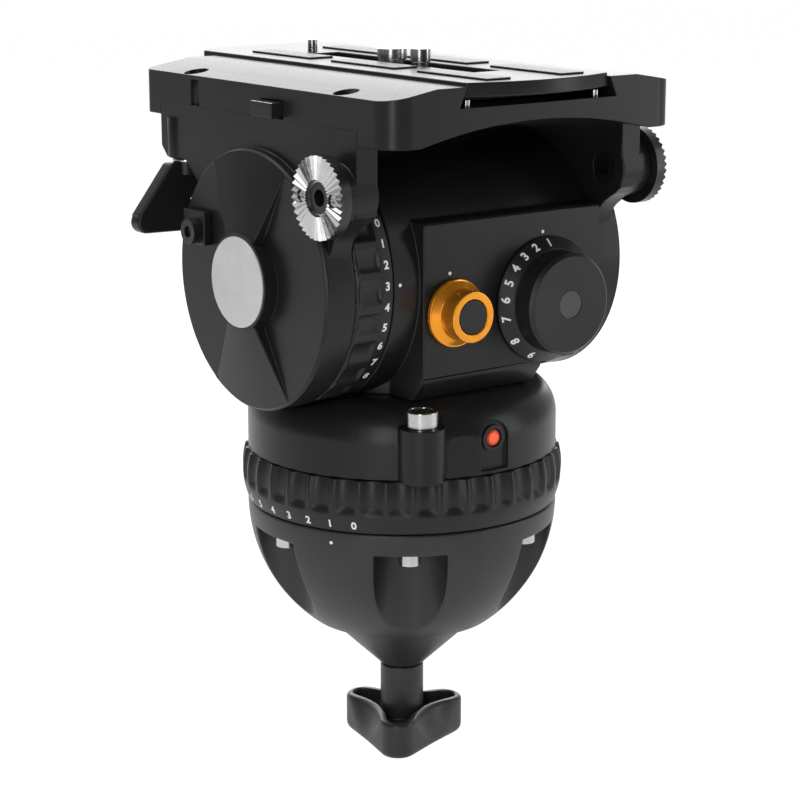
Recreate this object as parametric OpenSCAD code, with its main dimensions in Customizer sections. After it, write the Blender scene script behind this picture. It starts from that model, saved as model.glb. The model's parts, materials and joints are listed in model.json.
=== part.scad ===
// Fluid video head for a 100 mm bowl: half ball with tie-down, pan unit, tilt body,
// two-armed tilt platform, sliding camera plate. Millimetres, +Z up.
// Origin: centre of the half ball, on the pan axis. Tilt axis along X, dials face -Y.

/* [Half ball] */
// Radius of the half ball that sits in the tripod bowl
ball_r = 50; // [47:0.5:53]
// Depth of the flat foot under the ball centre
ball_depth = 40.4; // [39:0.1:44]
// Number of screw windows round the ball
window_n = 6; // [4:1:7]
// Radius of one screw window
window_r = 11.4; // [9:0.1:12]
// Direction of the first window, from -Y round the pan axis
window_az = -34; // [-60:1:0]

/* [Pan unit] */
// Height of the pan drag ring
ring_h = 16.8; // [15.5:0.1:20]
// Barrel bulge of the pan drag ring beyond the ball
ring_bulge = 1.8; // [1:0.1:3]
// Finger flutes round the pan drag ring
pan_flutes = 38; // [24:1:44]
// Height of the pan housing
house_h = 23.1; // [22.5:0.1:28]
// Rounding of the pan housing's shoulder
shoulder_r = 12.5; // [8:0.5:13]
// Direction of the level, from -Y round the pan axis
level_az = -30.2; // [-45:0.1:-25]
// Direction of the light button, from -Y round the pan axis
button_az = -2; // [-4:0.5:10]

/* [Tilt body] */
// Height of the tilt axis above the pan housing
axis_rise = 36; // [35.5:0.5:40]
// Radius of the tilt hubs and the tilt body
hub_r = 40; // [38:0.5:40.5]
// Width of the tilt drag ring
tdrag_w = 13.6; // [12:0.1:16]
// Finger flutes round the tilt drag ring
tilt_flutes = 26; // [18:1:30]
// Reach of the dial panel in front of the tilt body
panel_out = 1.5; // [1:0.1:3]
// Height of the dial panel's top edge above the tilt axis
panel_up = 19.4; // [17:0.1:20]
// Sideways place of the counterbalance dial
dial_x = 24.5; // [22:0.1:26]
// Outer radius of the counterbalance dial's number skirt
dial_r = 19.8; // [17:0.1:20]
// Sideways place of the selector knob
knob_x = -11.9; // [-13:0.1:-10]
// Radius of the selector knob's flange
knob_r = 10.4; // [8:0.1:10.8]

/* [Platform] */
// Width of the tilt platform
plat_w = 109.2; // [107:0.2:114]
// Length of the tilt platform
plat_l = 131; // [126:1:140]
// Height of the rails of the tilt platform
plat_h = 16.4; // [16:0.1:18]
// Height of the platform's top above the tilt axis
plat_rise = 61.9; // [61:0.1:66]
// Width of the dovetail slot at its mouth
slot_w = 54.4; // [50:0.2:56]
// Length of the camera plate behind its curved front
plate_l = 145.5; // [130:0.5:150]

/* [Arms] */
// Thickness of an arm
arm_t = 7.4; // [6.8:0.1:7.6]
// Radius of a handle rosette
ros_r = 12.2; // [11:0.1:12.6]
// Teeth of a handle rosette
ros_teeth = 36; // [24:1:40]
// Radius of the hub badge
badge_r = 13.9; // [12:0.1:15]

/* [Tie-down] */
// Reach of the tie-down knob's lobes
tie_r = 21.5; // [19:0.5:24]
// Height of the tie-down knob
tie_h = 12.4; // [11:0.2:16]

/* [Show] */
// Node to draw

/* [Hidden] */
$fn = 72;
eps = 0.01;
run = 0.05;
gap = 0.3;
fit = 0.02;

// pan unit heights and radii
ring_z0 = gap;
ring_z1 = ring_z0 + ring_h;
house_z0 = ring_z1 + gap;
house_z1 = house_z0 + house_h;
house_r = ball_r - 0.25;
base_r = ball_r - 3.6;
base_t = 4;
base_wall = 3.9;
cavity_r = 31;
cavity_z = -28;
screw_pcr = ball_r - 6.5;
window_pcr = ball_r - 3.1;
window_top = -6.9;
spin_r = 9;
bush_r = 12;
flange_r = 18;
skirt_r = 41;
stator_r = 34;
disc_t = 1.2;
disc_pitch = 3.4;
disc_z = base_t + 4;
skirt_t = 3;
house_wall = 5.5;
tube_r = 17;
fix_pcr = 24;
fix_r = 2.5;

// tilt heights and sideways stations
tilt_z = house_z1 + axis_rise;
arm_out = plat_w / 2;
arm_in = arm_out - arm_t;
hub_out = arm_out + 3.2;
boss_out = hub_out + 4.6;
badge_out = boss_out + 0.5;
body_r = hub_r - 0.2;
body_x1 = arm_in - 0.5;
tdrag_x0 = -(arm_in - 0.4);
tdrag_x1 = tdrag_x0 + tdrag_w;
body_x0 = tdrag_x1 + 0.4;
tdrag_wall = 9;
spigot_t = 3;
spigot_r = hub_r - tdrag_wall;
spigot_in = spigot_r - spigot_t;
rotor_r = spigot_in - 3;
chamber_r = spigot_r - 1;
spring_r = chamber_r - 8;
tdisc_t = 1.2;
tdisc_pitch = 4;
foot_r = body_r - 5.8;
panel_y = hub_r + panel_out;
panel_root = hub_r / 2;
spindle_in = 8;
chamber_x0 = body_x0 + 12.5;
chamber_x1 = body_x1 - 10.4;
shaft_r = 8;
tbush_r = 11;
shaft_end = hub_out - 1.5;
boss_r = badge_r + 0.9;
stop_t = 3;
stop_hole_y = 26;
stop_hole_z = tilt_z + 12.2;
dial_z = tilt_z - 8.8;
panel_x0 = -23.4;
skirt_x1 = 24;
panel_z0 = tilt_z - 28.3;
dial_front = panel_y + 12.1;
dial_grip = dial_r - 3.9;
knob_front = panel_y + 9.7;
knob_nose = knob_r - 2.6;
knob_spin = 3;
dial_spin = 4;

// platform heights and stations
plat_z = tilt_z + plat_rise;
rail_z = plat_z - plat_h;
arm_z = rail_z + 4.3;
plat_y0 = -plat_l / 2 - 1;
plat_y1 = plat_l / 2 - 1;
bevel_w = 16.6;
bevel_h = 2.8;
corner_r = 3.5;
front_r = 8;
arch_rise = 5.5;
arch_half = 43.7;
arch_r = (arch_half * arch_half + arch_rise * arch_rise) / (2 * arch_rise);
slot_d = 6;
slot_flare = 2.6;
slot_z = plat_z - slot_d;
arm_y0 = -50.6;
screw_x = arm_out - 4.2;
lever_y = plat_y1 - 16.5;
arm_y1 = lever_y + 7;
screw_y = lever_y - 8;
screw_seat = plat_z - 7.4;
head_pocket = 3.9;

// camera plate
plate_z0 = slot_z + gap;
plate_z1 = plat_z + 1.1;
plate_y0 = plat_y0 - 4.5;
plate_y1 = plate_y0 + plate_l + 5.5;
plate_in = 0.3;
relief_l = 16;
relief_h = 2.9;
nose_r = 69;
tail_r = 17;
channel_half = 7.3;
channel_z = plate_z1 - 3.5;
mouth_half = 5.1;
channel_y0 = plate_y0 + 27;
channel_y1 = plate_y0 + 114;
small_y = plate_y0 + 61.5;
large_y = plate_y0 + 76;
pin_y = plate_y0 + 119.5;
pad_h = 0.6;
thread_z = plate_z1 + pad_h;
small_r = 3.175;
large_r = 4.7625;
pin_r = 1.6;
pad_w = 9;
pad_len = 33;
pad_x = 14;
pad_pitch = 44;
pad_y = plate_y0 + 6.5;
stop_x = slot_w / 2 - 2.7;
stop_y = plat_y0 + 4;

// clamp lever, tab and rosettes
lever_x = -(arm_out - 5);
lever_boss = 6;
lever_z = rail_z - 13.4;
cam_z = arm_z + 1.2;
cam_h = 3.4;
tab_y = -8;
tab_half = 5.6;
tab_z0 = arm_z + 0.4;
tab_z1 = arm_z + 5.1;
tab_out = arm_out + 4;
ros_y = -42.2;
ros_rise = 30.5;
ros_z = tilt_z + ros_rise;
ros_out = arm_out + 8.3;
ros_seat = ros_out - 4;
ros_boss = ros_r - 2.8;
insert_r = 4.6;
thread_r = 2.5;
ros_screw = 7.6;
lever_spin = 3;
notch_y = 34.6;
notch_r = 2.4;

// level, button and tie-down
level_pcr = house_r - 0.35;
level_r = 5;
level_z0 = house_z0 + 15.4;
level_z1 = level_z0 + 6.6;
boss_z = house_z0 + 16.9;
boss_half = 7.2;
button_z = house_z0 + 11;
button_r = 2.6;
flat_az = (level_az + button_az) / 2 + 0.8;
flat_d = 0.25;
pocket_half = 5.05;
pocket_depth = 1.6;
pocket_top = house_z0 + 16.3;
stud_r = 5;
tie_az = -42;
cup_z1 = -ball_depth - gap;
cup_h = 17.5;
cup_z0 = cup_z1 - cup_h;
cup_r = 25.2;
stem_r = 7.1;
stem_z1 = cup_z0 - gap;
knob_z1 = stem_z1 - 14.2;
knob_z0 = knob_z1 - tie_h;
lobe_r = 5.8;
lobe_ease = 0.2;
lobe_pcr = tie_r - lobe_r;
waist_r = 10.4;
flank_pcr = 34.4;
rim_t = 2.2;
rim_h = 4;

// placing helpers
module zcyl(z0, z1, r) {
  translate([0, 0, z0]) cylinder(h = z1 - z0, r = r);
}
module xcyl(x0, x1, r) {
  translate([x0, 0, 0]) rotate([0, 90, 0]) cylinder(h = x1 - x0, r = r);
}
module xcone(x0, x1, r0, r1) {
  translate([x0, 0, 0]) rotate([0, 90, 0]) cylinder(h = x1 - x0, r1 = r0, r2 = r1);
}
module ycyl(y0, y1, r) {
  translate([0, y1, 0]) rotate([90, 0, 0]) cylinder(h = y1 - y0, r = r);
}
module yz(x0, x1) {
  translate([x0, 0, 0]) rotate([90, 0, 90]) linear_extrude(x1 - x0) children();
}
module xz(y0, y1) {
  translate([0, y1, 0]) rotate([90, 0, 0]) linear_extrude(y1 - y0) children();
}
module box(x0, x1, y0, y1, z0, z1) {
  translate([x0, y0, z0]) cube([x1 - x0, y1 - y0, z1 - z0]);
}
module at_az(az, r) {
  rotate([0, 0, az]) translate([0, -r, 0]) children();
}
module round_windows() {
  for (i = [0 : window_n - 1]) at_az(window_az + i * 360 / window_n, 0) children();
}
module both() {
  children();
  mirror([1, 0, 0]) children();
}
module on_tilt() {
  translate([0, 0, tilt_z]) children();
}
module disc(z0, z1, ro, ri) {
  difference() {
    zcyl(z0, z1, ro);
    zcyl(z0 - 1, z1 + 1, ri);
  }
}
module xdisc(x0, x1, ro, ri) {
  difference() {
    xcyl(x0, x1, ro);
    xcyl(x0 - 1, x1 + 1, ri);
  }
}
module cap_screw(head_r, head_h, r, len) {
  difference() {
    union() {
      zcyl(0, head_h, head_r);
      zcyl(-len, eps, r);
    }
    translate([0, 0, head_h * 0.4]) cylinder(h = head_h, r = head_r * 0.52, $fn = 6);
  }
}

// half ball and tie-down
module half_ball() {
  color("#2b2b2d") difference() {
    intersection() {
      sphere(r = ball_r);
      zcyl(-ball_depth, 0, ball_r + 1);
    }
    zcyl(cavity_z, 1, cavity_r);
    zcyl(-ball_depth - 1, cavity_z + 1, stud_r + 0.1);
    round_windows() {
      translate([0, -window_pcr, window_top - ball_r]) cylinder(h = ball_r, r = window_r);
      translate([0, -screw_pcr, window_top - 1]) cylinder(h = 10, r = 2.1);
    }
  }
}
module ball_screws() {
  color("#c9c9c9") round_windows()
    translate([0, -screw_pcr, window_top]) rotate([180, 0, 0]) cap_screw(3.5, 4, 2, 10.2);
}
module tie_stud() {
  color("#8d9094") union() {
    translate([0, 0, cavity_z]) cylinder(h = 6, r = 9.5, $fn = 6);
    zcyl(knob_z0 + 5.2, cavity_z + eps, stud_r);
  }
}
module tie_cup() {
  color("#2b2b2d") difference() {
    translate([0, 0, cup_z0]) cylinder(h = cup_z1 - cup_z0, r1 = stem_r - 0.2, r2 = cup_r);
    zcyl(cup_z0 - 1, cup_z1 + 1, stud_r + gap);
  }
}
function polar(az, r) = [r * sin(az), -r * cos(az)];
module knob_plan(lobe) {
  for (i = [0 : 2]) rotate(tie_az + i * 120) translate([0, -lobe_pcr]) circle(r = lobe);
  polygon([for (i = [0 : 2]) for (s = [-1, 1])
    polar(tie_az + i * 120, lobe_pcr) + polar(tie_az + i * 120 + s * 60, lobe - lobe_ease)]);
}
module flanks(z, h, r1, r2) {
  for (i = [0 : 2]) rotate([0, 0, tie_az + 60 + i * 120]) translate([0, -flank_pcr, z])
    cylinder(h = h, r1 = r1, r2 = r2);
}
module tie_knob() {
  side_r = lobe_pcr / 2 + lobe_r;
  draft = (side_r + 1 - waist_r) / tie_h;
  top_r = flank_pcr - waist_r;
  color("#2b2b2d") difference() {
    union() {
      difference() {
        translate([0, 0, knob_z0]) linear_extrude(tie_h) knob_plan(lobe_r);
        flanks(knob_z0 - 1, tie_h + 2, top_r - draft * (tie_h + 1), top_r + draft);
        difference() {
          translate([0, 0, knob_z1 - rim_h]) linear_extrude(rim_h + 1) knob_plan(lobe_r - rim_t);
          flanks(knob_z1 - rim_h - 1, rim_h + 3, top_r + rim_t, top_r + rim_t);
        }
      }
      zcyl(knob_z0 + 1, stem_z1, stem_r);
    }
    zcyl(knob_z0 + 3, stem_z1 + 1, stud_r + gap);
  }
}

// pan unit
module pan_base() {
  color("#6d7074") difference() {
    union() {
      zcyl(0, base_t, base_r);
      disc(base_t - eps, ring_z1 - 1.5, base_r, base_r - base_wall);
    }
    zcyl(-1, base_t + 1, spin_r + fit);
    round_windows() translate([0, -screw_pcr, -1]) cylinder(h = 4.6, r = 2.02);
  }
}
module pan_spindle() {
  color("#b5b8bb") union() {
    zcyl(0, house_z1 - 3.5, spin_r);
    zcyl(base_t, base_t + 3, flange_r);
    zcyl(0, house_z1 - 0.4, 7);
  }
}
module spindle_nut() {
  color("#8d9094") difference() {
    translate([0, 0, house_z1 - 3.4]) cylinder(h = 3, r = 11, $fn = 6);
    zcyl(house_z1 - 5, house_z1 + 1, 7 + fit);
  }
}
module pan_stators() {
  color("#9a7b3c") for (i = [0 : 1])
    translate([0, 0, i * disc_pitch]) disc(disc_z, disc_z + disc_t, stator_r, spin_r + fit);
}
module pan_rotors() {
  color("#9a7b3c") for (i = [0 : 1])
    translate([0, 0, (i + 0.5) * disc_pitch])
      disc(disc_z, disc_z + disc_t, skirt_r - skirt_t - fit, tube_r);
}
module pan_drag_ring() {
  band_h = 5.2;
  barrel_r = 24;
  mid_z = ring_z0 + ring_h * 0.59;
  color("#2e2e30") difference() {
    rotate_extrude() intersection() {
      translate([base_r + run, ring_z0]) square([ring_bulge + 5, ring_h]);
      translate([ball_r + ring_bulge - barrel_r, mid_z]) circle(r = barrel_r);
    }
    for (i = [0 : pan_flutes - 1]) at_az(i * 360 / pan_flutes, ball_r + ring_bulge + 2)
      zcyl(ring_z0 + band_h + 0.6, ring_z1 + 1, 3.2);
  }
}
module pan_housing() {
  color("#2b2b2d") difference() {
    union() {
      rotate_extrude() union() {
        translate([0, house_z0]) square([house_r - shoulder_r, house_h]);
        translate([0, house_z0]) square([house_r, house_h - shoulder_r]);
        translate([house_r - shoulder_r, house_z1 - shoulder_r]) intersection() {
          circle(r = shoulder_r);
          square(shoulder_r + 1);
        }
      }
      at_az(level_az, level_pcr) zcyl(house_z0, boss_z, boss_half);
      disc(base_t + 5.4, house_z0 + eps, skirt_r, skirt_r - skirt_t);
    }
    difference() {
      union() {
        zcyl(house_z0 - 1, house_z0 + 9, skirt_r);
        zcyl(house_z0 - 1, house_z1 - house_wall, cavity_r);
      }
      disc(house_z0 - 2, house_z0 + 3, skirt_r + 1, skirt_r - skirt_t);
      zcyl(house_z0 - 2, house_z1, tube_r);
      at_az(level_az, level_pcr) zcyl(house_z0 - 2, house_z1, boss_half + 3);
    }
    zcyl(house_z0 - 1, house_z1 + 1, bush_r + fit);
    for (i = [0 : 3]) at_az(45 + i * 90, fix_pcr) zcyl(house_z0, house_z1 + 1, fix_r + 0.1);
    at_az(level_az, level_pcr) zcyl(level_z0, house_z1, level_r + run);
    rotate([0, 0, button_az]) {
      xz(-house_r - 1, -house_r + pocket_depth) union() {
        translate([0, pocket_top - pocket_half]) circle(r = pocket_half);
        translate([-pocket_half, house_z0 + 1.2])
          square([2 * pocket_half, pocket_top - pocket_half - house_z0 - 1.2]);
      }
      translate([0, 0, button_z]) ycyl(-house_r, -house_r + pocket_depth + 4, button_r + 0.3);
    }
    rotate([0, 0, flat_az]) box(-5.2, 8, -house_r - 1, -house_r + flat_d, house_z0 - 1, house_z1);
    on_tilt() xcyl(tdrag_x0 - 0.5, tdrag_x1 + 0.2, hub_r + 0.6);
  }
}
module pan_bushes() {
  color("#b08d4a") {
    disc(house_z0 + 1, house_z0 + 9, bush_r, spin_r + run);
    disc(house_z1 - 11.5, house_z1 - 3.8, bush_r, spin_r + run);
  }
}
module housing_screws() {
  color("#8d9094") for (i = [0 : 3]) at_az(45 + i * 90, fix_pcr)
    translate([0, 0, house_z1 - house_wall]) rotate([180, 0, 0]) cap_screw(4.2, 4, fix_r, 14);
}
module level_body() {
  color("#d5d7d9") at_az(level_az, level_pcr) difference() {
    zcyl(level_z0, level_z1, level_r);
    zcyl(level_z0 + 1, level_z1 + 1, level_r - 1);
  }
}
module level_vial() {
  color("#5c6b2c") at_az(level_az, level_pcr) zcyl(level_z0 + 1, level_z1 - 0.4, level_r - 1.02);
}
module light_bezel() {
  color("#1d1d1f") rotate([0, 0, button_az]) translate([0, 0, button_z]) difference() {
    ycyl(-house_r + pocket_depth - 0.9, -house_r + pocket_depth, button_r + 1.6);
    ycyl(-house_r, -house_r + pocket_depth + 1, button_r + 0.3);
  }
}
module light_button() {
  color("#ff5a2a") rotate([0, 0, button_az]) translate([0, 0, button_z])
    ycyl(-house_r + pocket_depth - 0.6, -house_r + pocket_depth + 2.2, button_r);
}

// tilt body and its dials
module tilt_body() {
  color("#2b2b2d") difference() {
    union() {
      intersection() {
        on_tilt() xcyl(body_x0, body_x1, body_r);
        box(body_x0 - 1, body_x1 + 1, -hub_r, hub_r, house_z1, plat_z);
      }
      intersection() {
        zcyl(house_z1, tilt_z - 10, foot_r);
        box(body_x0, body_x1, -foot_r, foot_r, house_z1, plat_z);
      }
      yz(panel_x0, body_x1) polygon([[-panel_y, panel_z0], [-panel_y, tilt_z + panel_up - 1],
        [1 - panel_y, tilt_z + panel_up], [-panel_root, tilt_z + panel_up], [-panel_root, house_z1 + 4],
        [9 - panel_y, panel_z0 - 1.6]]);
      yz(panel_x0, skirt_x1) polygon([[-panel_y, panel_z0 + 2], [1 - panel_y, panel_z0 - 2],
        [-foot_r - 2, house_z1], [-panel_root, house_z1], [-panel_root, panel_z0 + 2]]);
      on_tilt() xcyl(tdrag_x0 + 0.7, body_x0 + eps, spigot_r);
    }
    on_tilt() {
      xcyl(tdrag_x0 - 1, body_x0 - 0.2, spigot_in);
      xcyl(chamber_x0, chamber_x1, chamber_r);
      xcyl(body_x0 - 2, body_x1 + 1, tbush_r + fit);
    }
    xz(-panel_y - 1, -foot_r) polygon([[body_x1 - 10, panel_z0 - 10], [body_x1 + 1, panel_z0 - 10],
      [body_x1 + 1, panel_z0 + 9], [body_x1 - 10, panel_z0]]);
    for (i = [0 : 3]) at_az(45 + i * 90, fix_pcr) zcyl(house_z1 - 1, house_z1 + 9, fix_r + 0.02);
    translate([dial_x, 0, dial_z]) ycyl(-panel_y - 1, -panel_y + spindle_in + 0.5, dial_spin + run);
    translate([knob_x, 0, dial_z]) ycyl(-panel_y - 1, -panel_y + spindle_in + 0.5, knob_spin + run);
  }
}
module tilt_bushes() {
  color("#b08d4a") on_tilt() {
    xdisc(body_x0, body_x0 + 10, tbush_r, shaft_r + run);
    xdisc(body_x1 - 10, body_x1, tbush_r, shaft_r + run);
  }
}
module tilt_stators() {
  color("#9a7b3c") on_tilt() for (i = [0 : 1])
    xdisc(body_x0 - 3 - i * tdisc_pitch, body_x0 - 3 + tdisc_t - i * tdisc_pitch, spigot_in - fit,
      shaft_r + 4);
}
module tilt_rotors() {
  color("#9a7b3c") on_tilt() for (i = [0 : 1])
    xdisc(body_x0 - 5 - i * tdisc_pitch, body_x0 - 5 + tdisc_t - i * tdisc_pitch, rotor_r, shaft_r + fit);
}
module tilt_drag_ring() {
  band = 4.1;
  color("#2e2e30") on_tilt() difference() {
    union() {
      xcone(tdrag_x0, tdrag_x0 + 1, hub_r - 1.2, hub_r - 0.2);
      xcyl(tdrag_x0 + 1 - eps, tdrag_x1 - band, hub_r - 0.2);
      xcyl(tdrag_x1 - band - eps, tdrag_x1, hub_r - 0.5);
    }
    xcyl(tdrag_x0 - 1, tdrag_x1 + 1, spigot_r + run);
    for (i = [0 : tilt_flutes - 1]) rotate([i * 360 / tilt_flutes, 0, 0])
      translate([0, 0, hub_r + 3.3]) xcyl(tdrag_x0 + 1.2, tdrag_x1 - band - 0.4, 4.6);
  }
}
module selector_knob() {
  color("#e88a1e") translate([knob_x, 0, dial_z]) difference() {
    union() {
      ycyl(-panel_y - 1.8, -panel_y - gap, knob_r);
      translate([0, -panel_y - 1.8 + eps, 0]) rotate([90, 0, 0])
        cylinder(h = 2.4, r1 = knob_r - 0.3, r2 = knob_nose);
      ycyl(-knob_front, -panel_y - 1, knob_nose);
    }
    ycyl(-knob_front - 1, -knob_front + 1.2, knob_nose - 2.6);
    ycyl(-knob_front, -panel_y + 1, knob_spin + fit);
  }
}
module selector_inset() {
  color("#1d1d1f") translate([knob_x, 0, dial_z])
    ycyl(-knob_front + 0.2, -knob_front + 1.2, knob_nose - 2.62);
}
module selector_spindle() {
  color("#8d9094") translate([knob_x, 0, dial_z])
    ycyl(-knob_front + 1.25, -panel_y + spindle_in, knob_spin);
}
module balance_dial() {
  color("#2e2e30") translate([dial_x, 0, dial_z]) difference() {
    union() {
      ycyl(-panel_y - 1, -panel_y - gap, dial_r);
      translate([0, -panel_y - 1 + eps, 0]) rotate([90, 0, 0])
        cylinder(h = 3.2, r1 = dial_r, r2 = dial_grip + 0.4);
      ycyl(-dial_front + 1.2, -panel_y - 2, dial_grip);
      translate([0, -dial_front + 1.2 + eps, 0]) rotate([90, 0, 0])
        cylinder(h = 1.2, r1 = dial_grip, r2 = dial_grip - 1.2);
    }
    ycyl(-dial_front - 1, -dial_front + 0.8, 4.4);
    ycyl(-dial_front, -panel_y + 1, dial_spin + fit);
  }
}
module balance_cap() {
  color("#55565a") translate([dial_x, 0, dial_z]) ycyl(-dial_front + 0.1, -dial_front + 0.8, 4.38);
}
module balance_spindle() {
  color("#8d9094") translate([dial_x, 0, dial_z])
    ycyl(-dial_front + 0.85, -panel_y + spindle_in, dial_spin);
}

// tilting frame: shaft, arms, hubs and rosettes
module tilt_shaft() {
  color("#b5b8bb") on_tilt() difference() {
    xcyl(-shaft_end, shaft_end, shaft_r);
    both() xcyl(shaft_end - 12, shaft_end + 1, 3.05);
  }
}
module balance_springs() {
  pitch = (chamber_x1 - chamber_x0) / 3;
  color("#3a3a3a") on_tilt() for (i = [0 : 2])
    xdisc(chamber_x0 + pitch * i + 2, chamber_x0 + pitch * (i + 1) - 2, spring_r, shaft_r + fit);
}
module arm_face() {
  union() {
    polygon([[arm_y0, arm_z - tilt_z], [arm_y0, ros_rise - 5.5], [-hub_r - 3, hub_r * 0.5],
      [1 - hub_r, hub_r * 0.4], [3 - hub_r, hub_r * 0.2], [0, 0], [hub_r * 0.8, hub_r * 0.6],
      [lever_y - 7, lever_z - tilt_z], [arm_y1 - 3, lever_z - tilt_z],
      [arm_y1, lever_z - tilt_z + 3], [arm_y1, arm_z - tilt_z]]);
    translate([ros_y, ros_z - tilt_z]) circle(r = ros_boss);
  }
}
module hub_rib() {
  intersection() {
    xcone(-boss_out + 0.6, -hub_out + eps, boss_r - 1, hub_r - 0.6);
    yz(-boss_out, -hub_out + 1) polygon([[0, 0], [-hub_r * 0.5774, hub_r], [hub_r * 0.5774, hub_r]]);
  }
}
module arm_solid() {
  difference() {
    union() {
      on_tilt() {
        yz(-arm_out, -arm_in) arm_face();
        xcyl(-hub_out + 0.8, -arm_in, hub_r);
        xcone(-hub_out, -hub_out + 0.8 + eps, hub_r - 0.8, hub_r);
        xcyl(-boss_out, -hub_out + 1, boss_r);
        hub_rib();
        rotate([180, 0, 0]) hub_rib();
      }
      translate([0, ros_y, ros_z]) xcyl(-ros_seat, -arm_out + 1, ros_boss);
    }
    on_tilt() {
      xcyl(-shaft_end - 0.1, -arm_in + 1, shaft_r + fit);
      xcyl(-boss_out + 1, -shaft_end, 3.1);
      xcyl(-boss_out - 1, -boss_out + 2.6, 5.4);
      xcyl(-boss_out - 1, -boss_out + 1, badge_r + fit);
    }
    translate([0, ros_y, ros_z]) {
      xcyl(-ros_seat - 1, -arm_in + 1, insert_r + fit);
      for (s = [-1, 1]) translate([0, s * ros_screw, 0]) xcyl(-ros_seat - 1, -ros_seat + 5.6, 1.22);
    }
    for (s = [-1, 1]) translate([-screw_x, s * screw_y, 0]) zcyl(arm_z - 12, arm_z + 1, 2.05);
  }
}
module left_arm() {
  color("#2b2b2d") difference() {
    union() {
      arm_solid();
      translate([lever_x, lever_y, 0]) zcyl(lever_z, rail_z - 0.5, lever_boss);
    }
    translate([lever_x, lever_y, 0]) zcyl(lever_z - 1, arm_z + 1, lever_spin + run);
  }
}
module right_arm() {
  color("#2b2b2d") mirror([1, 0, 0]) arm_solid();
}
module shaft_screws() {
  color("#c9c9c9") on_tilt() both() translate([-boss_out + 2.6, 0, 0]) rotate([0, -90, 0])
    cap_screw(5, 1.5, 3, 11);
}
module left_badge() {
  color("#b8b8b8") on_tilt() xcyl(-badge_out, -boss_out + 1, badge_r);
}
module right_cover() {
  color("#2e2e30") on_tilt() xcyl(boss_out - 1, badge_out, badge_r);
}
module hub_stop() {
  color("#2b2b2d") difference() {
    box(-hub_out - stop_t, -hub_out, stop_hole_y - 5, stop_hole_y + 7,
      stop_hole_z - 4.2, stop_hole_z + 6.3);
    translate([0, stop_hole_y, stop_hole_z]) xcyl(-hub_out - 4, -hub_out + 1, 2.02);
  }
}
module hub_stop_screw() {
  color("#47484b") translate([-hub_out - stop_t, stop_hole_y, stop_hole_z]) rotate([0, -90, 0])
    cap_screw(3.9, 3, 2, 2.8);
}
module rosette() {
  tooth = 360 / ros_teeth;
  half = ros_r * tan(tooth / 2) * 0.92;
  depth = half * 0.95;
  slope = atan(depth / ros_r);
  flank = half / depth;
  rise = depth * 1.2;
  color("#c9c9c9") translate([0, ros_y, ros_z]) difference() {
    xcyl(-ros_out, -ros_seat, ros_r);
    for (i = [0 : ros_teeth - 1]) rotate([i * tooth, 0, 0]) translate([-ros_out, 0, 0])
      rotate([0, slope, 0]) translate([0, 0, insert_r + 0.4])
        linear_extrude(ros_r * 1.1 - insert_r)
          polygon([[0, 0], [-rise, -rise * flank], [-rise, rise * flank]]);
    xcyl(-ros_out - 1, -ros_seat + 1, insert_r + fit);
    xcyl(-ros_out - 1, -ros_out + 1.2, 5.4);
    for (s = [-1, 1]) translate([0, s * ros_screw, 0]) {
      xcyl(-ros_out - 1, -ros_seat + 1, 1.3);
      xcyl(-ros_out - 1, -ros_seat - 2, 2);
    }
  }
}
module left_rosette() {
  rosette();
}
module right_rosette() {
  mirror([1, 0, 0]) rosette();
}
module rosette_inserts() {
  color("#1d1d1f") both() translate([0, ros_y, ros_z]) xdisc(-ros_out + 1.2, -arm_in, insert_r, thread_r);
}
module rosette_screws() {
  color("#c9c9c9") both() translate([0, ros_y, ros_z]) for (s = [-1, 1])
    translate([-ros_seat - 2, s * ros_screw, 0]) rotate([0, -90, 0]) cap_screw(1.8, 1.2, 1.2, 7);
}

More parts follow.
